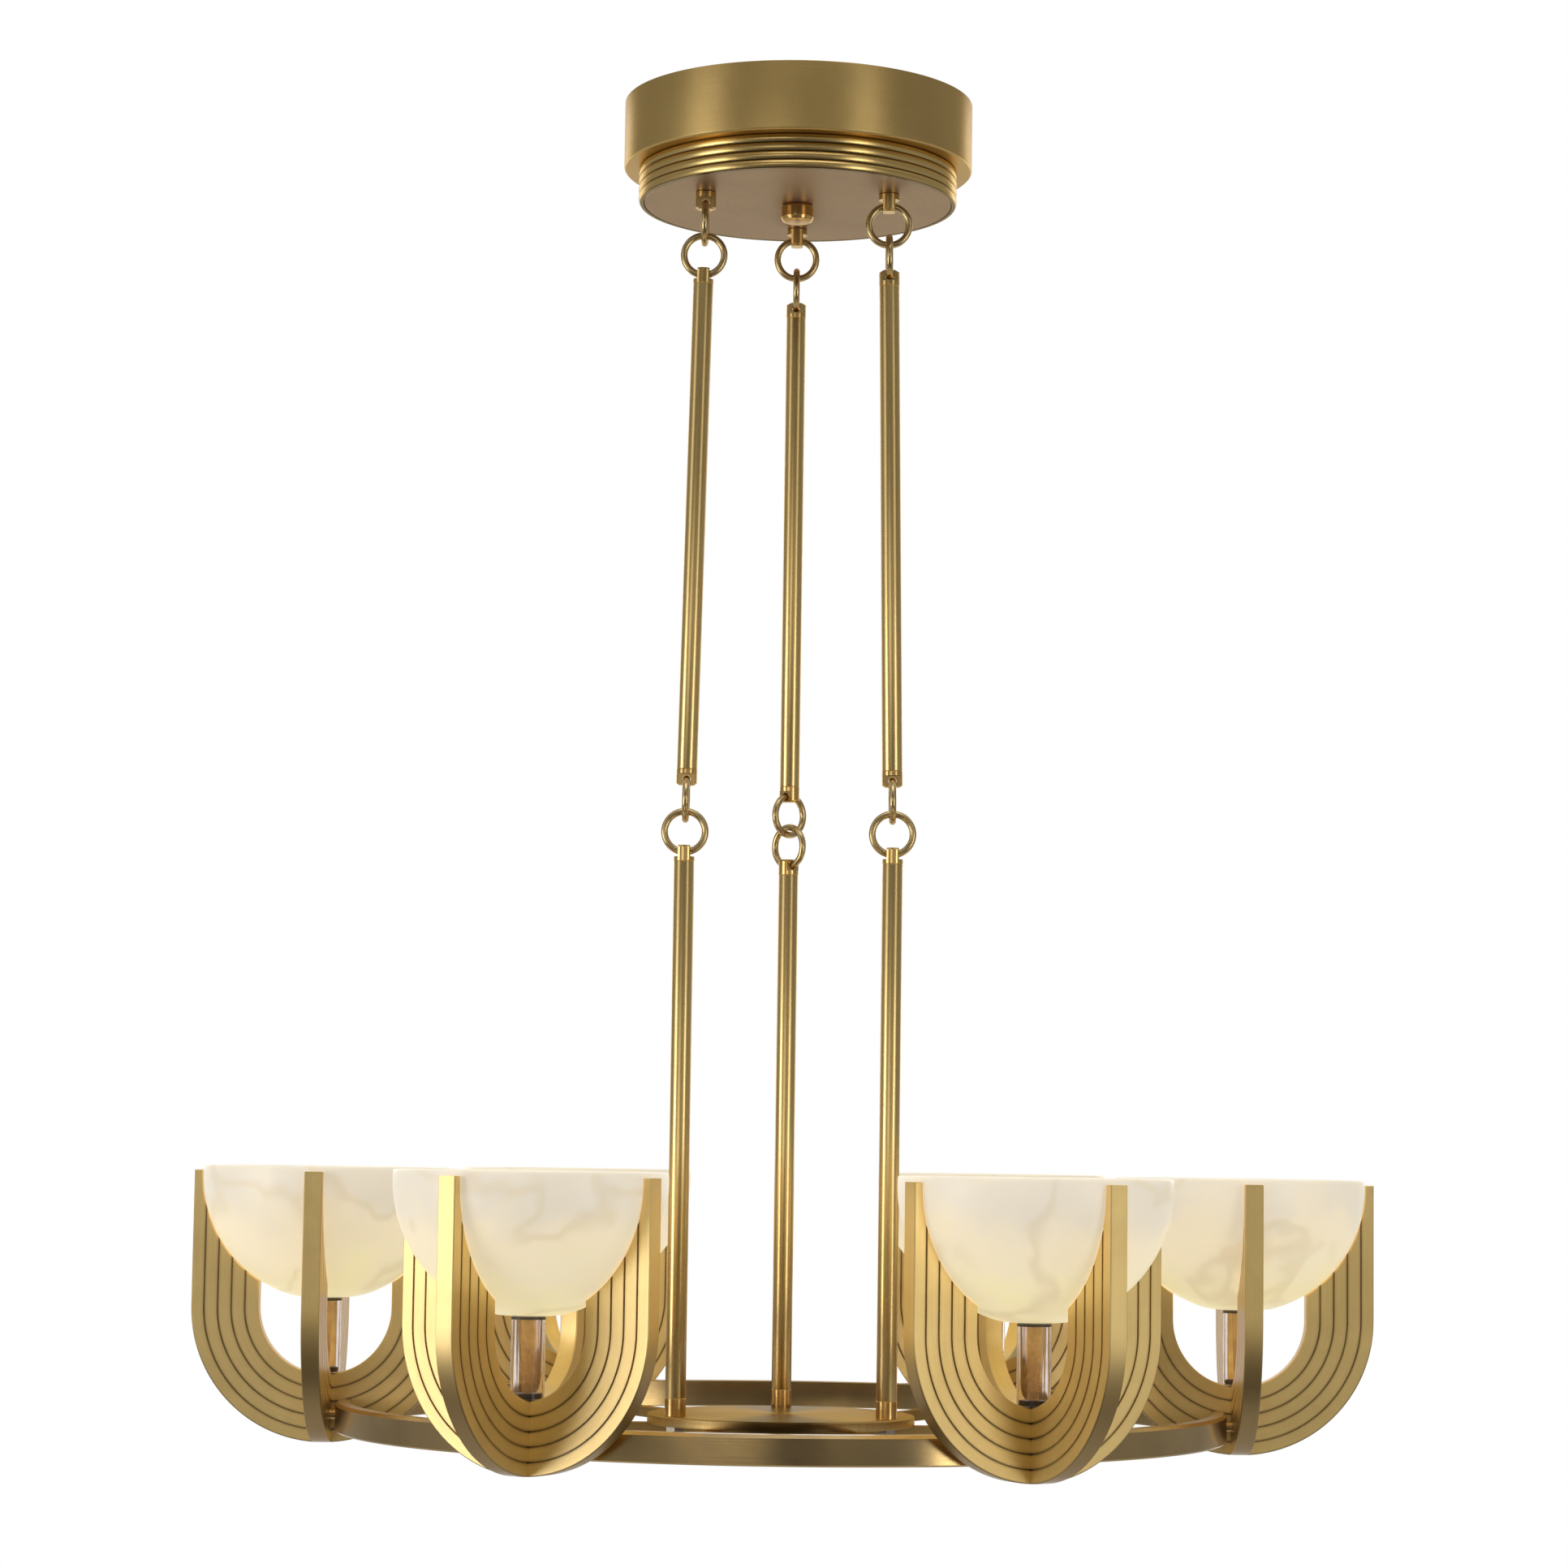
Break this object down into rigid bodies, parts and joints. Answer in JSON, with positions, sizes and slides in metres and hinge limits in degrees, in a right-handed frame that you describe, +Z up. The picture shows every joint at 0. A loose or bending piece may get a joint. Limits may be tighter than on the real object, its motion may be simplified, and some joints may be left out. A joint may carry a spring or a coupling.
{
  "type": "bowl chandelier",
  "caption": "Chandelier with a stepped canopy, jointed rods, a spoked ring and alabaster bowls cradled in crossed grooved U plates over clear lamp tubes.",
  "frame": {"origin": "on the ceiling plane at the centre of the canopy and of the bracket's two slots", "axes": "+Z up; -Y towards the viewer of the picture; +X to the viewer's right, through the middle of one lamp unit"},
  "size_m": [0.9204, 0.8114, 1.0642],
  "materials": {
    "canopy_brass": "satin",
    "canopy_underside": "satin",
    "finial_brass": "satin",
    "rod_brass": "satin",
    "rod_end_brass": "satin",
    "ring_brass": "satin",
    "hub_brass": "satin",
    "band_bronze": "satin",
    "plate_bronze": "satin",
    "hidden_steel": "satin",
    "terminal_plastic": "matte",
    "lamp_cap_dark": "satin",
    "clear_glass": "gloss",
    "amber_core": "gloss",
    "alabaster": "satin"
  },
  "bodies": {
    "canopy": {"canopy_shell": "canopy_brass", "canopy_beads": "canopy_brass", "canopy_base_plate": "canopy_underside", "ceiling_bracket": "hidden_steel", "suspension_studs": "hidden_steel", "stud_nuts": "hidden_steel", "center_finial": "finial_brass", "finial_nut": "hidden_steel", "terminal_block": "terminal_plastic", "hangers": "rod_brass", "upper_rings": "ring_brass"},
    "link_right": {"link_ring_right": "ring_brass"},
    "rod_right": {"upper_rod_right": "rod_brass", "upper_rod_ends_right": "rod_end_brass"},
    "middle_right": {"middle_ring_right": "ring_brass"},
    "link_left": {"link_ring_left": "ring_brass"},
    "rod_left": {"upper_rod_left": "rod_brass", "upper_rod_ends_left": "rod_end_brass"},
    "middle_left": {"middle_ring_left": "ring_brass"},
    "link_back": {"link_ring_back": "ring_brass"},
    "rod_back": {"upper_rod_back": "rod_brass", "upper_rod_ends_back": "rod_end_brass", "middle_ring_back": "ring_brass"},
    "platform": {"lower_rings": "ring_brass", "lower_rods": "rod_brass", "lower_rod_ends": "rod_end_brass", "lower_rod_feet": "rod_end_brass", "foot_studs": "hidden_steel", "foot_nuts": "hidden_steel", "hub_disc": "hub_brass", "spoke_boss": "hub_brass", "spokes": "hub_brass", "spoke_screws": "hidden_steel", "outer_band": "band_bronze", "band_spacers": "band_bronze", "radial_plate_1": "plate_bronze", "tangential_plate_1": "plate_bronze", "radial_plate_2": "plate_bronze", "tangential_plate_2": "plate_bronze", "radial_plate_3": "plate_bronze", "tangential_plate_3": "plate_bronze", "radial_plate_4": "plate_bronze", "tangential_plate_4": "plate_bronze", "radial_plate_5": "plate_bronze", "tangential_plate_5": "plate_bronze", "radial_plate_6": "plate_bronze", "tangential_plate_6": "plate_bronze", "unit_bolts": "hidden_steel", "lamp_sockets": "lamp_cap_dark", "glass_tubes": "clear_glass", "lamp_cores": "amber_core", "lamp_caps": "lamp_cap_dark"},
    "bowl_1": {"alabaster_bowl_1": "alabaster"},
    "bowl_2": {"alabaster_bowl_2": "alabaster"},
    "bowl_3": {"alabaster_bowl_3": "alabaster"},
    "bowl_4": {"alabaster_bowl_4": "alabaster"},
    "bowl_5": {"alabaster_bowl_5": "alabaster"},
    "bowl_6": {"alabaster_bowl_6": "alabaster"}
  },
  "joints": [
    {"name": "sway_front_back", "type": "hinge", "parent": "canopy", "child": "link_right", "pos_m": [0.07285, -0.04206, -0.12159], "axis": [1, 0, 0], "range_deg": [-6, 6]},
    {"name": "sway_side", "type": "hinge", "parent": "link_right", "child": "rod_right", "pos_m": [0.07328, -0.04231, -0.14749], "axis": [0, 1, 0], "range_deg": [-6, 6]},
    {"name": "right_middle_pivot", "type": "hinge", "parent": "rod_right", "child": "middle_right", "pos_m": [0.08, -0.04619, -0.54631], "axis": [0, 1, 0], "range_deg": [-6, 6]},
    {"name": "platform_pivot", "type": "hinge", "parent": "middle_right", "child": "platform", "pos_m": [0.08044, -0.04644, -0.57221], "axis": [1, 0, 0], "range_deg": [-6, 6]},
    {"name": "left_ring_pivot", "type": "hinge", "parent": "canopy", "child": "link_left", "pos_m": [-0.07285, -0.04206, -0.12159], "axis": [0, 1, 0], "range_deg": [-6, 6]},
    {"name": "left_rod_pivot", "type": "hinge", "parent": "link_left", "child": "rod_left", "pos_m": [-0.07328, -0.04231, -0.14749], "axis": [1, 0, 0], "range_deg": [-6.5, 6.5]},
    {"name": "left_middle_pivot", "type": "hinge", "parent": "rod_left", "child": "middle_left", "pos_m": [-0.08001, -0.04619, -0.54681], "axis": [0, 1, 0], "range_deg": [-6, 6]},
    {"name": "back_ring_pivot", "type": "hinge", "parent": "canopy", "child": "link_back", "pos_m": [0, 0.08411, -0.12159], "axis": [1, 0, 0], "range_deg": [-6, 6]},
    {"name": "back_rod_pivot", "type": "hinge", "parent": "link_back", "child": "rod_back", "pos_m": [0, 0.08462, -0.14749], "axis": [0, 1, 0], "range_deg": [-6, 6]},
    {"name": "bowl_1_lift", "type": "slide", "parent": "platform", "child": "bowl_1", "axis": [0, 0, 1], "range_m": [0, 0.11]},
    {"name": "bowl_2_lift", "type": "slide", "parent": "platform", "child": "bowl_2", "axis": [0, 0, 1], "range_m": [0, 0.11]},
    {"name": "bowl_3_lift", "type": "slide", "parent": "platform", "child": "bowl_3", "axis": [0, 0, 1], "range_m": [0, 0.11]},
    {"name": "bowl_4_lift", "type": "slide", "parent": "platform", "child": "bowl_4", "axis": [0, 0, 1], "range_m": [0, 0.11]},
    {"name": "bowl_5_lift", "type": "slide", "parent": "platform", "child": "bowl_5", "axis": [0, 0, 1], "range_m": [0, 0.11]},
    {"name": "bowl_6_lift", "type": "slide", "parent": "platform", "child": "bowl_6", "axis": [0, 0, 1], "range_m": [0, 0.11]}
  ],
  "couplings": [
    {"joint": "right_middle_pivot", "follows": "sway_side", "ratio": -0.9164},
    {"joint": "platform_pivot", "follows": "sway_front_back", "ratio": -0.9056},
    {"joint": "left_ring_pivot", "follows": "sway_side", "ratio": 0.9379},
    {"joint": "left_rod_pivot", "follows": "sway_front_back", "ratio": 1.061},
    {"joint": "left_middle_pivot", "follows": "sway_side", "ratio": -0.8543},
    {"joint": "back_ring_pivot", "follows": "sway_front_back", "ratio": 0.9932},
    {"joint": "back_rod_pivot", "follows": "sway_side", "ratio": 0.9322}
  ]
}
